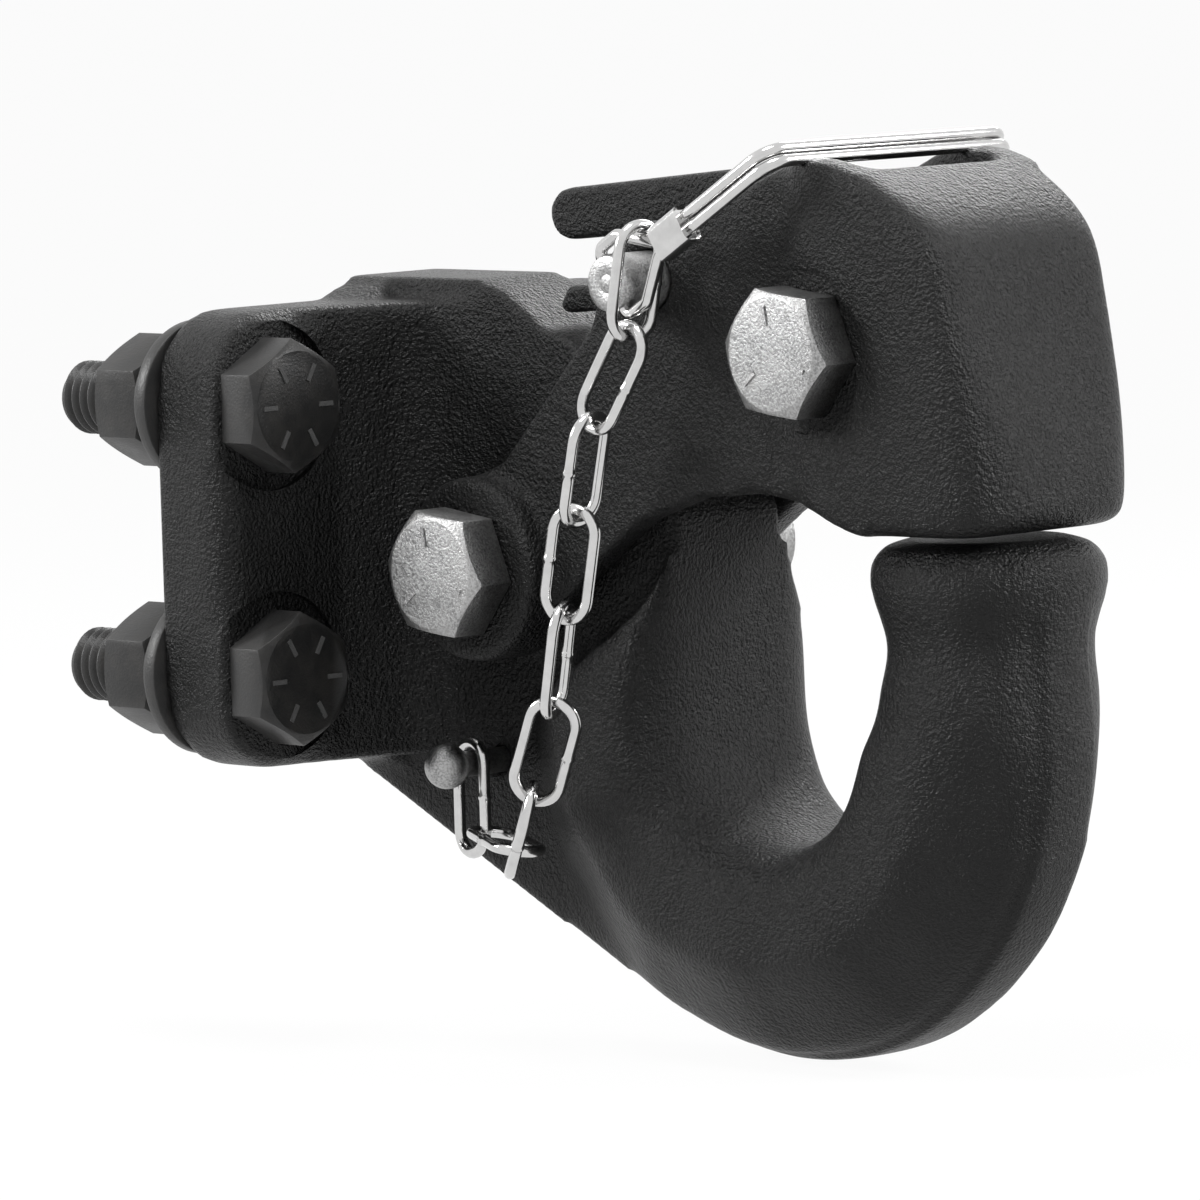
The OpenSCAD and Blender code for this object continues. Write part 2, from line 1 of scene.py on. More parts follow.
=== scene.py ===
"""Looks of the pintle hook: forged black castings, zinc and black bolts, and a bright chain."""
import json
from math import copysign, cos, hypot, pi, radians, sin, sqrt

import bmesh
import bpy
from mathutils import Matrix, Vector


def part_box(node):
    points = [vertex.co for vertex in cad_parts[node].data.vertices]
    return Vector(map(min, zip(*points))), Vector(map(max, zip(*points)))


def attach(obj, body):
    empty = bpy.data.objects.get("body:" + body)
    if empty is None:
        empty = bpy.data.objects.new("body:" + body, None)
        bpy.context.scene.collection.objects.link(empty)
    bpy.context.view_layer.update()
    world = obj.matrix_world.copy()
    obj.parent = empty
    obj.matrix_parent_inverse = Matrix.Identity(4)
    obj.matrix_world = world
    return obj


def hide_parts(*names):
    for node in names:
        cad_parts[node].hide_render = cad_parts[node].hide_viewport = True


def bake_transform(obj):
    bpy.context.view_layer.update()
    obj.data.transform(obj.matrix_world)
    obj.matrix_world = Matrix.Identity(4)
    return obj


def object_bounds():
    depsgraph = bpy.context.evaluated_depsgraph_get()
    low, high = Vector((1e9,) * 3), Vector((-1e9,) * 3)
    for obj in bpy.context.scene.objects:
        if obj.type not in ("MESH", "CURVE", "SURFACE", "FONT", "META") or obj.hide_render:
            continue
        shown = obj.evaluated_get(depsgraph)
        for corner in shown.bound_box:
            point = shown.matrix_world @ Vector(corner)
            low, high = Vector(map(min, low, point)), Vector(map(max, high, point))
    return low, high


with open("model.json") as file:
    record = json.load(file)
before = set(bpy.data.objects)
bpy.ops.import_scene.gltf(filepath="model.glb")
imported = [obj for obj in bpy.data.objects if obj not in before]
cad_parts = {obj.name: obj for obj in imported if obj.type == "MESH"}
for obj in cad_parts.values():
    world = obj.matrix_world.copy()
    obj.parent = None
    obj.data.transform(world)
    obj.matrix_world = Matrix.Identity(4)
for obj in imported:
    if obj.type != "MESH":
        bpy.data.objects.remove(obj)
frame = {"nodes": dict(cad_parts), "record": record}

cad_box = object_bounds()
MM = 0.001

# Places and sizes of the part in millimetres, as its source gives them
BOLT_R = 6.35
HEAD_H = 7.9
PAD_X, PAD_D = 14.4, 28.0
BOLT_Y, BOLT_Z = 42.86, 22.225
PLATE_W, PLATE_H, PLATE_CORNER, PLATE_T = 108.0, 75.0, 13.0, 11.0
THROAT_X, THROAT_Z = 97.0, -28.5
BOLT_TIP_X = -30.05
NUT_BACK_X = -16.8
PIVOT = (43.0, -5.0)
LOCK = (115.0, 32.0)
PIVOT_SEAT_Y, LOCK_SEAT_Y = -26.55, -20.4
LOCK_NUT_H = 15.0
SEAT_D = 26.0
PIN = (81.0, 42.4)
PIN_R = 4.75
PIN_NEAR_Y, PIN_TIP_Y = -30.0, 26.5

# Forms that the castings get here, in millimetres
HOOK_VOXEL, JAW_VOXEL, LOCK_VOXEL = 1.0, 0.8, 0.6
PLATE_SWELL, PLATE_RIM = 4.6, 5.0
NOSE_FRONT_X, NOSE_FOOT_Z = 152.5, 8.0
BROW_BACK_X, BROW_DEEP = 116.0, 27.5
BROW_FOOT_Z, BROW_HIGH = 42.0, 18.4
CREASE_X, CREASE_REACH, CREASE_DEEP = 109.5, 6.0, 1.1
CROWN_X, CROWN_REACH, CROWN_HIGH = 117.0, 22.0, 1.8
TAPER_BACK_X, TAPER, TAPER_POWER = 120.0, 0.15, 1.5
LAND_HALF, LAND_STEP, LAND_DEEP = 5.0, 1.0, 0.8
HORN_X = 134.0
PINCH_Z, PINCH_REACH, PINCH_DEEP, OUTER_PINCH = -15.0, 8.0, 1.0, 0.3
PAD_CUT, SEAT_CUT = 30, 20

# Small relief on the bolts: eased edges, radial grade bars, and the thread with its tip
EASED = 0.3
GRADE_BAR, GRADE_R = (3.0, 0.75, 0.5), 6.1
THREAD_PITCH = 1.954
CREST_R, ROOT_R = BOLT_R - 0.25, BOLT_R - 1.25
TIP_CHAMFER, TIP_SLOPE = 1.5, 0.9

# The bail, in its own plane: along the legs, across the part and square to the legs
BAIL_TILT = radians(30.5)
BAIL_EYE_Y, BAIL_FAR_Y = -28.4, 27.0
BAIL_REACH = 40.6
BAIL_WIRE_R = 1.0
BAIL_APART = 1.1
EYE_END, LEG_START = 4.9, 11.4
FERRULE_AT, FERRULE_LEN, FERRULE_WIDE, FERRULE_HIGH = 16.0, 7.0, 3.8, 6.0

# The chain's links: lean from straight down, drift inwards, and the twist of each against the last
LINK_LEAN = (6, 30, 18, 12, 14, 26, 40, 95, 175)
LINK_DRIFT = (-6, -6, 5, 0, 3, 4, 18, 25, 5)
FIRST_TURN, LINK_TWIST = radians(80), radians(-9)
LINK_WIRE_R = 0.95
LINK_BEND_R = 3.85
LINK_STRAIGHT = 5.2
# The weld, a narrow raised collar halfway along one side: place along the side and thickness
WELD = ((-1.6, 1.0), (-0.55, 1.03), (-0.35, 1.16), (0.1, 1.18), (0.25, 1.0), (1.4, 1.0))


class Value:
    """A shader socket that Python's operators work on."""

    def __init__(self, nodes, socket):
        self.nodes, self.socket = nodes, socket

    def maths(self, operation, a, b):
        return self.nodes.node("ShaderNodeMath", {"operation": operation}, {0: a, 1: b})

    def __add__(self, other):
        return self.maths("ADD", self, other)

    def __radd__(self, other):
        return self.maths("ADD", other, self)

    def __mul__(self, other):
        return self.maths("MULTIPLY", self, other)

    def __rmul__(self, other):
        return self.maths("MULTIPLY", other, self)


class Nodes:
    """A node tree under construction."""

    def __init__(self, tree):
        self.tree = tree

    def node(self, kind, settings=None, inputs=None, output=0):
        made = self.tree.nodes.new(kind)
        for key, value in (settings or {}).items():
            if key == "stops":
                ramp = made.color_ramp.elements
                while len(ramp) < len(value):
                    ramp.new(0.5)
                for element, (at, level) in zip(ramp, value):
                    element.position = at
                    element.color = (level, level, level, 1)
            else:
                setattr(made, key, value)
        for key, value in (inputs or {}).items():
            self.feed(made.inputs[key], value)
        return None if output is None else Value(self, made.outputs[output])

    def feed(self, socket, value):
        if isinstance(value, Value):
            self.tree.links.new(value.socket, socket)
        else:
            socket.default_value = value


class Finish(Nodes):
    """A material of the part under construction."""

    def __init__(self, name):
        self.material = bpy.data.materials.new(name)
        self.material.use_nodes = True
        super().__init__(self.material.node_tree)
        self.shader = self.tree.nodes["Principled BSDF"]
        self.place = self.node("ShaderNodeTexCoord", output="Object")

    def noise(self, scale, detail=3.0, roughness=0.55):
        return self.node("ShaderNodeTexNoise", {}, {
            "Vector": self.place, "Scale": scale, "Detail": detail, "Roughness": roughness})

    def ramp(self, value, *stops):
        return self.node("ShaderNodeValToRGB", {"stops": stops}, {"Fac": value})

    def mix(self, share, a, b):
        return self.node("ShaderNodeMix", {"data_type": "RGBA"}, {0: share, 6: a, 7: b}, output=2)

    def bump(self, height, strength, distance):
        return self.node("ShaderNodeBump", {}, {"Height": height, "Strength": strength, "Distance": distance})

    def done(self, **sockets):
        for key, value in sockets.items():
            self.feed(self.shader.inputs[key.replace("_", " ")], value)
        return self.material


def grey(level, warm=0.0):
    return (level * (1 + warm), level, level * (1 - warm), 1)


def cast_finish():
    """Black paint over a shot-blasted forging: fine pebbling, a few larger swells, and edges a little paler,
    partly rubbed paint and partly a painted edge highlight.
    """
    f = Finish("forged_black_paint")
    pebble = f.noise(1650, 1.5, 0.5)
    fine = f.noise(4200, 1.5, 0.5)
    swell = f.noise(330, 2.0, 0.5)
    patch = f.noise(60, 3.0, 0.55)
    # Edges lifted towards grey(0.025) by Pointiness: partly rubbed paint, partly a painted edge highlight
    edge_wear_and_highlight = f.ramp(f.node("ShaderNodeNewGeometry", output="Pointiness"), (0.51, 0.0), (0.58, 1.0))
    shade = f.mix(f.ramp(patch, (0.35, 0.0), (0.7, 1.0)), grey(0.0045), grey(0.0075))
    return f.done(
        Base_Color=f.mix(edge_wear_and_highlight * 0.3, shade, grey(0.025)),
        Specular_IOR_Level=0.21,
        Roughness=0.29 + 0.1 * patch,
        Normal=f.bump(pebble + swell * 0.5 + fine * 0.4, 1.0, 0.0007))


def oxide_finish():
    """Black-oxide bolts: thin dark satin with brownish mottling."""
    f = Finish("black_oxide_steel")
    fine = f.noise(2200, 3.0)
    mottle = f.noise(240, 4.0, 0.6)
    # Edges painted towards grey(0.1) by Pointiness: partly rubbed oxide, partly a painted edge highlight
    edge_wear_and_highlight = f.ramp(f.node("ShaderNodeNewGeometry", output="Pointiness"), (0.51, 0.0), (0.6, 1.0))
    shade = f.mix(f.ramp(mottle, (0.4, 0.0), (0.65, 1.0)), grey(0.009), grey(0.016, 0.06))
    return f.done(
        Base_Color=f.mix(edge_wear_and_highlight * 0.6, shade, grey(0.1)),
        Specular_IOR_Level=0.3,
        Roughness=0.3 + 0.2 * mottle,
        Normal=f.bump(fine, 0.25, 0.0003))


def zinc_finish():
    """Bright zinc plate with a grainy satin and faint handling marks."""
    f = Finish("bright_zinc_plate")
    grain = f.noise(2600, 3.0, 0.6)
    cloud = f.noise(220, 3.0)
    speck = f.ramp(grain, (0.38, 0.0), (0.62, 1.0))
    shade = f.mix(f.ramp(cloud, (0.35, 0.0), (0.7, 1.0)), grey(0.2), grey(0.32, 0.012))
    return f.done(
        Base_Color=f.mix(speck, shade, grey(0.42)),
        Metallic=1.0,
        Roughness=0.24 + 0.16 * cloud + 0.12 * grain,
        Normal=f.bump(grain, 0.35, 0.0004))


def bright_finish():
    """Nickel-bright wire with drawing lines."""
    f = Finish("bright_drawn_wire")
    cloud = f.noise(400, 3.0)
    return f.done(
        Base_Color=f.mix(cloud, grey(0.5), grey(0.68, 0.008)),
        Metallic=1.0,
        Roughness=0.08 + 0.12 * cloud,
        Normal=f.bump(f.noise(1400, 3.0), 0.06, 0.0001))


def nylon_finish():
    f = Finish("nylon_ring")
    cloud = f.noise(500, 3.0)
    return f.done(
        Base_Color=f.mix(cloud, (0.74, 0.74, 0.66, 1), (0.82, 0.82, 0.76, 1)),
        Roughness=0.42 + 0.1 * cloud,
        Normal=f.bump(cloud, 0.1, 0.0002))


FINISHES = {"cast_black": cast_finish(), "black_oxide": oxide_finish(), "zinc": zinc_finish(),
            "bright_steel": bright_finish(), "nylon": nylon_finish()}
SLOT_OF = {row["node"]: row["material_slot"] for row in frame["record"]["subparts"]}
BODY_OF = {n: body for body, names in frame["record"]["behaviour"]["bodies"].items() for n in names}


def along_x(x, y, z):
    """From a bolt's own frame, z along its shank towards +X, to the part's."""
    return Matrix.Translation((x, y, z)) @ Matrix.Rotation(pi / 2, 4, "Y")


def along_minus_y(at, y):
    """From a cross bolt's own frame, z towards the near side, to the part's."""
    return Matrix.Translation((at[0], y, at[1])) @ Matrix.Rotation(pi / 2, 4, "X")


def show(name, bm, node, sharp=32, rides=True):
    """Turns a bmesh, in millimetres, into the piece that stands for a node."""
    bmesh.ops.scale(bm, vec=(MM, MM, MM), verts=bm.verts)
    mesh = bpy.data.meshes.new(name)
    bm.to_mesh(mesh)
    bm.free()
    mesh.shade_smooth()
    mesh.set_sharp_from_angle(angle=radians(sharp))
    piece = bpy.data.objects.new(name, mesh)
    bpy.context.scene.collection.objects.link(piece)
    slot = SLOT_OF[node]
    mesh.materials.append(FINISHES[slot])
    if rides:
        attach(piece, BODY_OF[node])
    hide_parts(node)
    return piece


def solid(node):
    """A merged copy of a node's mesh, in millimetres."""
    bm = bmesh.new()
    bm.from_mesh(frame["nodes"][node].data)
    bmesh.ops.remove_doubles(bm, verts=bm.verts, dist=1e-6)
    bmesh.ops.scale(bm, vec=(1 / MM,) * 3, verts=bm.verts)
    return bm


def ease_edges(bm, width, angle=30, segments=2):
    """Rounds every edge that turns by more than angle."""
    bmesh.ops.dissolve_limit(bm, angle_limit=radians(0.5), verts=bm.verts, edges=bm.edges)
    sharp = [e for e in bm.edges if len(e.link_faces) == 2 and e.calc_face_angle(0) > radians(angle)]
    bmesh.ops.bevel(bm, geom=sharp, offset=width, offset_type="OFFSET", affect="EDGES", segments=segments,
                    profile=0.5, material=-1, clamp_overlap=True)


def modified(bm, add):
    """The mesh of bm, in millimetres, after the modifiers that add puts on it."""
    mesh = bpy.data.meshes.new("work")
    bm.to_mesh(mesh)
    bm.free()
    work = bpy.data.objects.new("work", mesh)
    bpy.context.scene.collection.objects.link(work)
    add(work)
    result = bpy.data.meshes.new_from_object(work.evaluated_get(bpy.context.evaluated_depsgraph_get()))
    bpy.data.objects.remove(work)
    out = bmesh.new()
    out.from_mesh(result)
    bpy.data.meshes.remove(result)
    bpy.data.meshes.remove(mesh)
    return out


def forged(bm, voxel):
    """A shape in an even fine mesh, ready to be softened."""
    def add(work):
        remesh = work.modifiers.new("even", "REMESH")
        remesh.mode = "VOXEL"
        remesh.voxel_size = voxel
    return modified(bm, add)


def soften(bm, rounds, inside=None):
    verts = [v for v in bm.verts if inside is None or inside(v.co)]
    for _ in range(rounds):
        bmesh.ops.smooth_vert(bm, verts=verts, factor=0.5, use_axis_x=True, use_axis_y=True, use_axis_z=True)


def grade_lines(bm, matrix, count, turn):
    """Raised radial bars near the rim of a bolt head's face."""
    for i in range(count):
        made = bmesh.ops.create_cube(bm, size=1)
        bmesh.ops.scale(bm, vec=GRADE_BAR, verts=made["verts"])
        bmesh.ops.translate(bm, vec=(GRADE_R, 0, 0), verts=made["verts"])
        bmesh.ops.rotate(bm, cent=(0, 0, 0), matrix=Matrix.Rotation(turn + i * 2 * pi / count, 3, "Z"),
                         verts=made["verts"])
        bmesh.ops.transform(bm, matrix=matrix, verts=made["verts"])


def thread(bm, matrix, length):
    """A rolled thread from z = 0 up to its chamfered tip."""
    steps = 36
    p = THREAD_PITCH
    turns = int(length / p) + 3
    part = bmesh.new()
    outline = [(ROOT_R, 0), (ROOT_R, 0.14 * p), (CREST_R, 0.44 * p), (CREST_R, 0.56 * p),
               (ROOT_R, 0.86 * p), (ROOT_R, p)]
    verts = [part.verts.new((r, 0, z - p)) for r, z in outline]
    edges = [part.edges.new(pair) for pair in zip(verts, verts[1:])]
    bmesh.ops.spin(part, geom=verts + edges, cent=(0, 0, 0), axis=(0, 0, 1), dvec=(0, 0, p / steps),
                   angle=2 * pi * turns, steps=steps * turns, use_merge=False, use_duplicate=False)
    bmesh.ops.remove_doubles(part, verts=part.verts, dist=0.001)
    for z, out in ((0, -1), (length, 1)):
        cut = bmesh.ops.bisect_plane(part, geom=part.verts[:] + part.edges[:] + part.faces[:], dist=1e-5,
                                     plane_co=(0, 0, z), plane_no=(0, 0, out), clear_outer=True)
        rim = [g for g in cut["geom_cut"] if isinstance(g, bmesh.types.BMEdge)]
        bmesh.ops.contextual_create(part, geom=rim)
    for v in part.verts:
        r = hypot(v.co.x, v.co.y)
        most = CREST_R - max(0.0, v.co.z - (length - TIP_CHAMFER)) * TIP_SLOPE
        if r > most:
            v.co.x *= most / r
            v.co.y *= most / r
    bmesh.ops.recalc_face_normals(part, faces=part.faces)
    bmesh.ops.transform(part, matrix=matrix, verts=part.verts)
    mesh = bpy.data.meshes.new("thread")
    part.to_mesh(mesh)
    part.free()
    bm.from_mesh(mesh)
    bpy.data.meshes.remove(mesh)


def shorten(bm, at, outward):
    """Cuts a solid off square at a point and closes it."""
    cut = bmesh.ops.bisect_plane(bm, geom=bm.verts[:] + bm.edges[:] + bm.faces[:], dist=1e-5,
                                 plane_co=at, plane_no=outward, clear_outer=True)
    rim = [g for g in cut["geom_cut"] if isinstance(g, bmesh.types.BMEdge)]
    bmesh.ops.edgeloop_fill(bm, edges=rim)


def tube(name, points, radius, node, closed=False):
    """Round wire along points, in millimetres."""
    curve = bpy.data.curves.new(name, "CURVE")
    curve.dimensions = "3D"
    curve.bevel_depth = radius
    curve.bevel_resolution = 5
    curve.use_fill_caps = not closed
    line = curve.splines.new("POLY")
    line.points.add(len(points) - 1)
    for point, at in zip(line.points, points):
        point.co = (*at, 1)
    line.use_cyclic_u = closed
    work = bpy.data.objects.new(name, curve)
    bpy.context.scene.collection.objects.link(work)
    mesh = bpy.data.meshes.new_from_object(work.evaluated_get(bpy.context.evaluated_depsgraph_get()))
    bpy.data.objects.remove(work)
    bm = bmesh.new()
    bm.from_mesh(mesh)
    bpy.data.meshes.remove(mesh)
    bmesh.ops.remove_doubles(bm, verts=bm.verts, dist=0.001)
    bmesh.ops.recalc_face_normals(bm, faces=bm.faces)
    return show(name, bm, node, sharp=50)


def rounded(corners, closed):
    """A line through corners, ((point), bend radius), with each corner bent round."""
    count, steps = len(corners), 8
    out = []
    for i, (at, radius) in enumerate(corners):
        at = Vector(at)
        if not closed and i in (0, count - 1):
            out.append(at)
            continue
        back = (Vector(corners[i - 1][0]) - at).normalized()
        on = (Vector(corners[(i + 1) % count][0]) - at).normalized()
        half = back.angle(on) / 2
        reach = radius / max(0.05, abs(sin(half) / cos(half)))
        centre = at + (back + on).normalized() * (radius / sin(half))
        first, last = at + back * reach - centre, at + on * reach - centre
        spread = first.angle(last)
        for k in range(steps + 1):
            t = k / steps
            ray = (first * sin((1 - t) * spread) + last * sin(t * spread)) / max(1e-6, sin(spread))
            out.append(centre + ray)
    return out


def turned(name, outline, at, node):
    """A round bar across the part: outline is (y, radius) pairs from end to end."""
    bm = bmesh.new()
    verts = [bm.verts.new((at[0] + r, y, at[1])) for y, r in outline]
    edges = [bm.edges.new(pair) for pair in zip(verts, verts[1:])]
    bmesh.ops.spin(bm, geom=verts + edges, cent=(at[0], 0, at[1]), axis=(0, 1, 0), dvec=(0, 0, 0),
                   angle=2 * pi, steps=48, use_merge=True, use_duplicate=False)
    bmesh.ops.remove_doubles(bm, verts=bm.verts, dist=0.001)
    bmesh.ops.recalc_face_normals(bm, faces=bm.faces)
    return show(name, bm, node)


def share_of(value, low, high):
    """How far a value has come from low to high, between 0 and 1."""
    return min(1.0, max(0.0, (value - low) / (high - low)))


def plate_depth(y, z):
    """How far a place on the plate lies inside its outline."""
    over_y, over_z = abs(y) - PLATE_W / 2 + PLATE_CORNER, abs(z) - PLATE_H / 2 + PLATE_CORNER
    return PLATE_CORNER - hypot(max(over_y, 0), max(over_z, 0)) - min(max(over_y, over_z), 0)


def swell_plate(bm):
    """Brings the plate's front up round its spot-faces, with a rounded rim."""
    back_x, front_x, neck_y, facing = 9, 18, 22, 0.15
    bm.normal_update()
    for v in bm.verts:
        if back_x < v.co.x < front_x and abs(v.co.y) > neck_y and v.normal.x > facing:
            edge = 1 - share_of(plate_depth(v.co.y, v.co.z), 0, PLATE_RIM)
            v.co.x = max(v.co.x, PLATE_T + PLATE_SWELL * sqrt(1 - edge ** 2))


def cut_with(bm, tool):
    """Takes one closed bmesh away from another."""
    mesh = bpy.data.meshes.new("tool")
    tool.to_mesh(mesh)
    tool.free()
    cutter = bpy.data.objects.new("tool", mesh)
    bpy.context.scene.collection.objects.link(cutter)

    def add(work):
        cut = work.modifiers.new("cut", "BOOLEAN")
        cut.operation = "DIFFERENCE"
        cut.solver = "EXACT"
        cut.object = cutter
    out = modified(bm, add)
    bpy.data.objects.remove(cutter)
    bpy.data.meshes.remove(mesh)
    return out


def machined(bm, cuts):
    """Cuts round flats, (frame, diameter, length), into a casting, with crisp rims."""
    tool = bmesh.new()
    for matrix, diameter, length in cuts:
        made = bmesh.ops.create_cone(tool, cap_ends=True, segments=96, radius1=diameter / 2,
                                     radius2=diameter / 2, depth=length)
        bmesh.ops.transform(tool, matrix=matrix @ Matrix.Translation((0, 0, length / 2)), verts=made["verts"])
    return cut_with(bm, tool)


def shape_nose(bm):
    """Leans the nose's front back and rounds its brow over."""
    steps = 24
    brow = [(BROW_BACK_X + BROW_DEEP * sin(t), BROW_FOOT_Z + BROW_HIGH * cos(t))
            for t in (k * pi / 2 / steps for k in range(steps + 1))]
    clear = 30
    outline = brow + [(NOSE_FRONT_X, NOSE_FOOT_Z), (NOSE_FRONT_X + clear, NOSE_FOOT_Z),
                      (NOSE_FRONT_X + clear, brow[0][1] + clear), (BROW_BACK_X, brow[0][1] + clear)]
    tool = bmesh.new()
    side = tool.faces.new([tool.verts.new((x, -2 * clear, z)) for x, z in outline])
    made = bmesh.ops.extrude_face_region(tool, geom=[side])["geom"]
    far = [g for g in made if isinstance(g, bmesh.types.BMVert)]
    bmesh.ops.translate(tool, vec=(0, 4 * clear, 0), verts=far)
    bmesh.ops.recalc_face_normals(tool, faces=tool.faces)
    return cut_with(bm, tool)


def bell(value, middle, reach):
    """One at the middle, falling smoothly to nothing at either reach."""
    return cos(min(1.0, abs(value - middle) / reach) * pi / 2) ** 2


def shape_cheeks(bm):
    """Narrows the nose forward, presses in the crease behind it on each cheek and crowns the jaw's top."""
    cheek_y, crown_z = (17.5, 19.5), (45, 58)
    for v in bm.verts:
        v.co.y *= 1 - TAPER * share_of(v.co.x, TAPER_BACK_X, NOSE_FRONT_X) ** TAPER_POWER
        outer = share_of(abs(v.co.y), *cheek_y)
        v.co.y -= copysign(CREASE_DEEP * bell(v.co.x, CREASE_X, CREASE_REACH) * outer, v.co.y)
        v.co.z += CROWN_HIGH * bell(v.co.x, CROWN_X, CROWN_REACH) * share_of(v.co.z, *crown_z)


def leave_flash_land(bm):
    """Sinks the bend's outside on both sides of its trimmed parting line, which stays as a flat band."""
    forward, depth, facing = (70, 95), (8, 13), (0.1, 0.5)
    bm.normal_update()
    for v in bm.verts:
        out = Vector((v.co.x - THROAT_X, 0, min(v.co.z - THROAT_Z, 0))).normalized()
        beside = share_of(abs(v.co.y), LAND_HALF, LAND_HALF + LAND_STEP)
        reach = share_of(v.co.x, *forward) * share_of(-v.co.z, *depth)
        v.co -= out * LAND_DEEP * beside * reach * share_of(v.normal.dot(out), *facing)


def pinch_horn(bm):
    """Draws the horn in under its lip, less on its outside."""
    back_x, outward = THROAT_X + 5, (0.2, 0.8)
    for v in bm.verts:
        if v.co.x > back_x:
            out = Vector((v.co.x - HORN_X, v.co.y, 0)).normalized()
            part = 1 - (1 - OUTER_PINCH) * share_of(out.x, *outward)
            v.co -= out * PINCH_DEEP * bell(v.co.z, PINCH_Z, PINCH_REACH) * part


def make_castings():
    hook = forged(solid("hook_base"), HOOK_VOXEL)
    soften(hook, 3)
    swell_plate(hook)
    soften(hook, 4)
    # The lower front, then the bend, then the horn
    soften(hook, 14, lambda c: c.x > 46 and c.z < -6)
    soften(hook, 24, lambda c: c.x > 60 and c.z < -14)
    soften(hook, 40, lambda c: c.x > 110 and -46 < c.z < -12)
    leave_flash_land(hook)
    pinch_horn(hook)
    pads = [(along_x(PAD_X, y, z), PAD_D, PAD_CUT) for y in (-BOLT_Y, BOLT_Y) for z in (-BOLT_Z, BOLT_Z)]
    show("hook_casting", machined(hook, pads), "hook_base", sharp=40)

    jaw = forged(shape_nose(solid("jaw")), JAW_VOXEL)
    soften(jaw, 7)
    # The jaw's front, then its nose
    soften(jaw, 16, lambda c: c.x > 98)
    soften(jaw, 60, lambda c: c.x > 127)
    shape_cheeks(jaw)
    seats = [(along_minus_y(LOCK, LOCK_SEAT_Y), SEAT_D, SEAT_CUT),
             (along_minus_y(LOCK, -LOCK_SEAT_Y) @ Matrix.Rotation(pi, 4, "X"), SEAT_D, SEAT_CUT)]
    show("jaw_casting", machined(jaw, seats), "jaw", sharp=40)

    lock = forged(solid("lock_lever"), LOCK_VOXEL)
    soften(lock, 8)
    show("lock_casting", lock, "lock_lever", sharp=60)


def make_mounting_bolts():
    # The shank ends and the thread starts inside the nut, where neither end is seen
    shank_end_x, thread_start_x = NUT_BACK_X + 1, NUT_BACK_X + 2
    bm = solid("mounting_bolts")
    ease_edges(bm, EASED)
    shorten(bm, (shank_end_x, 0, 0), (-1, 0, 0))
    for y in (-BOLT_Y, BOLT_Y):
        for z in (-BOLT_Z, BOLT_Z):
            grade_lines(bm, along_x(PAD_X + HEAD_H, y, z), 6, radians(30))
            tip = along_x(thread_start_x, y, z) @ Matrix.Rotation(pi, 4, "X")
            thread(bm, tip, thread_start_x - BOLT_TIP_X)
    show("mounting_bolt_set", bm, "mounting_bolts")
    for node, name, width in (("mounting_nuts", "mounting_nut_set", 0.35),
                              ("mounting_washers", "flat_washer_set", 0.4),
                              ("mounting_lock_washers", "spring_washer_set", 0.3)):
        bm = solid(node)
        ease_edges(bm, width)
        show(name, bm, node)


def make_cross_bolts():
    for node, name, at, seat in (("pivot_bolt", "pivot_bolt_zinc", PIVOT, PIVOT_SEAT_Y),
                                 ("lock_bolt", "lock_bolt_zinc", LOCK, LOCK_SEAT_Y)):
        nut_end_y = -seat + LOCK_NUT_H
        shank_end_y, thread_start_y, thread_len = nut_end_y - 3, nut_end_y - 5, 7
        bm = solid(node)
        ease_edges(bm, EASED)
        shorten(bm, (0, shank_end_y, 0), (0, 1, 0))
        grade_lines(bm, along_minus_y(at, seat - HEAD_H), 3, radians(100))
        thread(bm, along_minus_y(at, thread_start_y) @ Matrix.Rotation(pi, 4, "X"), thread_len)
        show(name, bm, node)
    for node, name in (("pivot_nut", "pivot_nut_zinc"), ("lock_nut", "lock_nut_zinc"),
                       ("pivot_nut_insert", "pivot_nylon_ring"), ("lock_nut_insert", "lock_nylon_ring")):
        bm = solid(node)
        ease_edges(bm, EASED)
        show(name, bm, node)


def bail_place(along, y, up):
    """From the bail's own plane to the part's place."""
    return (PIN[0] + along * cos(BAIL_TILT) - up * sin(BAIL_TILT), y,
            PIN[1] + along * sin(BAIL_TILT) + up * cos(BAIL_TILT))


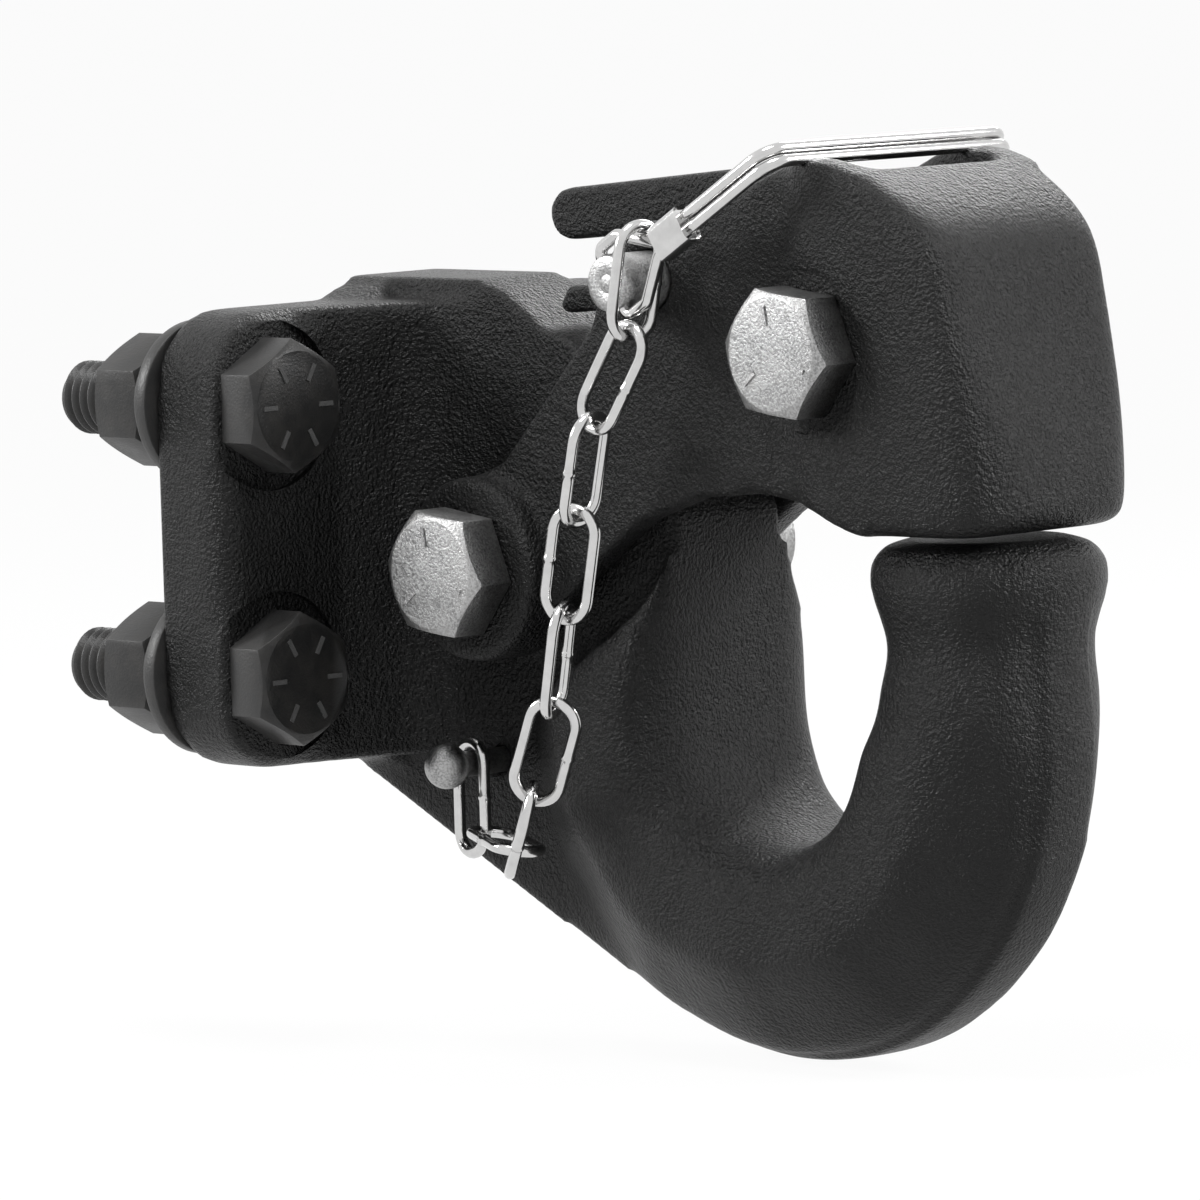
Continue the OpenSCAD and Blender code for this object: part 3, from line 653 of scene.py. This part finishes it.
def make_pin_and_bail():
    near, tip, rim = PIN_NEAR_Y, PIN_TIP_Y, PIN_R
    centre_mark = [(near, 0), (near, 1.2), (near + 0.15, 1.5), (near, 1.9)]
    near_rim = [(near, rim - 1.0), (near + 0.3, rim - 0.35), (near + 1, rim)]
    point = [(tip - 3.2, rim), (tip - 2.6, rim - 0.25), (tip - 0.4, rim * 0.56), (tip, rim * 0.42), (tip, 0)]
    turned("safety_pin_bar", centre_mark + near_rim + point, PIN, "safety_pin")

    # Half of the loop, in the bail's plane and with each bend's radius; the other half mirrors it
    end = PIN_R + BAIL_WIRE_R
    spread = PIN_R + BAIL_WIRE_R + 0.35
    half = [(0, BAIL_EYE_Y, spread, 1.5), (EYE_END, BAIL_EYE_Y, spread, 1.5),
            (LEG_START, BAIL_EYE_Y, BAIL_APART, 2), (BAIL_REACH, BAIL_EYE_Y, BAIL_APART, 4),
            (BAIL_REACH, BAIL_FAR_Y, BAIL_APART, 4), (end, BAIL_FAR_Y, BAIL_APART, 1.05)]
    other = [(along, y, -up, bend) for along, y, up, bend in reversed(half)]
    corners = [(bail_place(along, y, up), bend) for along, y, up, bend in half + other]
    tube("bail_wire_loop", rounded(corners, True), BAIL_WIRE_R, "bail_wire", closed=True)

    sleeve = bmesh.new()
    made = bmesh.ops.create_cube(sleeve, size=1)
    bmesh.ops.scale(sleeve, vec=(FERRULE_LEN, FERRULE_WIDE, FERRULE_HIGH), verts=made["verts"])
    bmesh.ops.bevel(sleeve, geom=[e for e in sleeve.edges if abs((e.verts[0].co - e.verts[1].co).x) > 1],
                    offset=1.1, offset_type="OFFSET", affect="EDGES", segments=4, profile=0.5, material=-1)
    ends = [f for f in sleeve.faces if abs(f.normal.x) > 0.9]
    bmesh.ops.inset_individual(sleeve, faces=ends, thickness=0.45, depth=-0.5)
    place = Matrix.Translation(bail_place(FERRULE_AT, BAIL_EYE_Y, 0)) @ Matrix.Rotation(-BAIL_TILT, 4, "Y")
    bmesh.ops.transform(sleeve, matrix=place, verts=sleeve.verts)
    show("bail_sleeve", sleeve, "bail_ferrule", sharp=40)


def link_frames():
    """The place of each link: its middle, its length along z, flat in x and z."""
    frames = []
    wide = Vector((cos(FIRST_TURN), sin(FIRST_TURN), 0))
    for i in range(9):
        lean, drift = radians(LINK_LEAN[i]), radians(LINK_DRIFT[i])
        v = Vector((-sin(lean) * cos(drift), sin(drift), -cos(lean) * cos(drift)))
        u = (wide - v * wide.dot(v)).normalized()
        if i:
            u = u * cos(LINK_TWIST) + v.cross(u) * sin(LINK_TWIST)
        wide = v.cross(u)
        low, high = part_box(f"chain_link_{i + 1}")
        frames.append(Matrix.Translation((low + high) / 2 / MM)
                      @ Matrix((u, wide, v)).transposed().to_4x4())
    return frames


def run_to(bm, edges, z, size):
    """Draws the open end of a link's wire along to z, with its thickness as a share of the wire's."""
    got = bmesh.ops.extrude_edge_only(bm, edges=edges)["geom"]
    verts = [g for g in got if isinstance(g, bmesh.types.BMVert)]
    centre = sum((v.co for v in verts), Vector()) / len(verts)
    for v in verts:
        radial = (v.co - centre).normalized() * LINK_WIRE_R * size
        v.co = Vector((centre.x, 0, z)) + Vector((radial.x, radial.y, 0))
    return [g for g in got if isinstance(g, bmesh.types.BMEdge)]


def bend_back(bm, edges, z):
    """Takes the open end of a link's wire half round at z."""
    got = bmesh.ops.spin(bm, geom=edges + list({v for e in edges for v in e.verts}), cent=(0, 0, z),
                         axis=(0, -1, 0), dvec=(0, 0, 0), angle=pi, steps=18,
                         use_merge=False, use_duplicate=False)["geom_last"]
    return [g for g in got if isinstance(g, bmesh.types.BMEdge)]


def link_wire():
    """A welded link in its own frame."""
    bm = bmesh.new()
    made = bmesh.ops.create_circle(bm, cap_ends=False, segments=16, radius=LINK_WIRE_R)
    bmesh.ops.translate(bm, vec=(LINK_BEND_R, 0, -LINK_STRAIGHT), verts=made["verts"])
    rim = list(bm.edges)
    for z, size in WELD + ((LINK_STRAIGHT, 1.0),):
        rim = run_to(bm, rim, z, size)
    rim = bend_back(bm, rim, LINK_STRAIGHT)
    rim = run_to(bm, rim, 0, 1.0)
    rim = run_to(bm, rim, -LINK_STRAIGHT, 1.0)
    bend_back(bm, rim, -LINK_STRAIGHT)
    bmesh.ops.remove_doubles(bm, verts=bm.verts, dist=0.01)
    bmesh.ops.recalc_face_normals(bm, faces=bm.faces)
    return bm


def make_chain():
    for i, place in enumerate(link_frames()):
        bm = link_wire()
        bmesh.ops.transform(bm, matrix=place, verts=bm.verts)
        link = show(f"chain_link_wire_{i + 1}", bm, f"chain_link_{i + 1}", sharp=60, rides=False)
        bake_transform(link)


def make_anchor():
    low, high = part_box("anchor_screw")
    low, high = low / MM, high / MM
    at = ((low.x + high.x) / 2, (low.z + high.z) / 2)
    reach, r, neck = 4.5, 3.7, 2.1
    middle = low.y + reach
    ball = [(middle - r * cos(t), r * sin(t)) for t in (k * pi / 20 for k in range(17))]
    turned("anchor_ball_screw", ball + [(middle + r - 0.5, neck), (high.y - 0.5, neck), (high.y, neck - 0.5),
                                        (high.y, 0)], at, "anchor_screw")


def make_spring():
    low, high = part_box("lock_spring")
    low, high = low / MM, high / MM
    coil_r, wire_r, coils = 9.25, 0.96, 3.5
    front, back = high.y - 1, low.y + 1
    points = [(high.x - 0.2, front, LOCK[1] + coil_r)]
    steps = 100
    for k in range(steps + 1):
        t = k / steps
        turn = pi / 2 - t * coils * 2 * pi
        points.append((LOCK[0] + coil_r * cos(turn), front + (back - front) * t,
                       LOCK[1] + coil_r * sin(turn)))
    points.append((low.x + 0.2, back, LOCK[1] - coil_r))
    tube("lock_spring_coil", points, wire_r, "lock_spring")


def seen_share(nodes):
    """1 for what is seen directly, in a reflection or through glass, and 0 for what only gives light."""
    total, *others = [nodes.node("ShaderNodeLightPath", output=ray)
                      for ray in ("Is Camera Ray", "Is Glossy Ray", "Is Transmission Ray")]
    for ray in others:
        total = nodes.node("ShaderNodeMath", {"operation": "MAXIMUM"}, {0: total, 1: ray})
    return total


def light_world():
    """A dim even light that is seen as white."""
    world = bpy.data.worlds.new("studio")
    bpy.context.scene.world = world
    world.use_nodes = True
    world.node_tree.nodes.clear()
    nodes = Nodes(world.node_tree)
    dim, white = (nodes.node("ShaderNodeBackground", {}, {"Color": grey(1.0), "Strength": strength})
                  for strength in (0.3, 1.0))
    pick = nodes.node("ShaderNodeMixShader", {}, {0: seen_share(nodes), 1: dim, 2: white})
    nodes.node("ShaderNodeOutputWorld", {}, {"Surface": pick}, output=None)


def lay_floor():
    """White paper just under the part, which keeps a faint shadow."""
    bm = bmesh.new()
    bmesh.ops.create_grid(bm, x_segments=1, y_segments=1, size=6)
    bmesh.ops.translate(bm, vec=(0, 0, cad_box[0][2] - 0.0005), verts=bm.verts)
    mesh = bpy.data.meshes.new("studio_floor")
    bm.to_mesh(mesh)
    bm.free()
    floor = bpy.data.objects.new("studio_floor", mesh)
    bpy.context.scene.collection.objects.link(floor)
    paper = bpy.data.materials.new("white_paper")
    paper.use_nodes = True
    paper.node_tree.nodes.clear()
    nodes = Nodes(paper.node_tree)
    matte = nodes.node("ShaderNodeBsdfDiffuse", {}, {"Color": grey(0.85)})
    glow = nodes.node("ShaderNodeEmission", {}, {"Strength": 1.0})
    pick = nodes.node("ShaderNodeMixShader", {}, {0: seen_share(nodes) * 0.95, 1: matte, 2: glow})
    nodes.node("ShaderNodeOutputMaterial", {}, {"Surface": pick}, output=None)
    mesh.materials.append(paper)


def make_stage():
    scene = bpy.context.scene
    scene.view_settings.view_transform = "Standard"
    light_world()
    lay_floor()
    middle = Vector((0.06, 0, -0.01))
    for name, at, wide, high, power in (("top_softbox", (0.1, -0.2, 0.8), 0.3, 0.3, 5.0),
                                        ("left_softbox", (-0.65, -0.65, 0.46), 0.32, 0.32, 8.5),
                                        ("right_softbox", (0.75, 0.52, 0.44), 0.42, 0.32, 10.5),
                                        ("back_softbox", (-0.3, 0.7, 0.5), 0.3, 0.3, 2.5)):
        light = bpy.data.lights.new(name, "AREA")
        light.shape = "RECTANGLE"
        light.size = wide
        light.size_y = high
        light.energy = power
        lamp = bpy.data.objects.new(name, light)
        scene.collection.objects.link(lamp)
        lamp.location = at
        lamp.rotation_euler = (middle - Vector(at)).to_track_quat("-Z", "Y").to_euler()


def make_camera():
    turn, tip, roll = radians(45.343), radians(5.336), radians(1.71)
    focal_px, image_px, sensor_mm = 9000.0, 1200.0, 36.0
    distance, right, up = 1504.9 * MM, 33.54 * MM, -14.0 * MM
    out = Vector((sin(turn) * cos(tip), -cos(turn) * cos(tip), sin(tip)))
    side = Vector((cos(turn), sin(turn), 0))
    rise = out.cross(side)
    across = side * cos(roll) - rise * sin(roll)
    upward = side * sin(roll) + rise * cos(roll)
    data = bpy.data.cameras.new("camera")
    data.sensor_fit = "HORIZONTAL"
    data.sensor_width = sensor_mm
    data.lens = focal_px / image_px * sensor_mm
    data.clip_end = 20
    camera = bpy.data.objects.new("camera", data)
    bpy.context.scene.collection.objects.link(camera)
    camera.matrix_world = Matrix.Translation(across * right + upward * up + out * distance) @ Matrix(
        (across, upward, out)).transposed().to_4x4()
    bpy.context.scene.camera = camera


make_camera()
make_stage()
make_castings()
make_mounting_bolts()
make_cross_bolts()
make_pin_and_bail()
make_chain()
make_anchor()
make_spring()
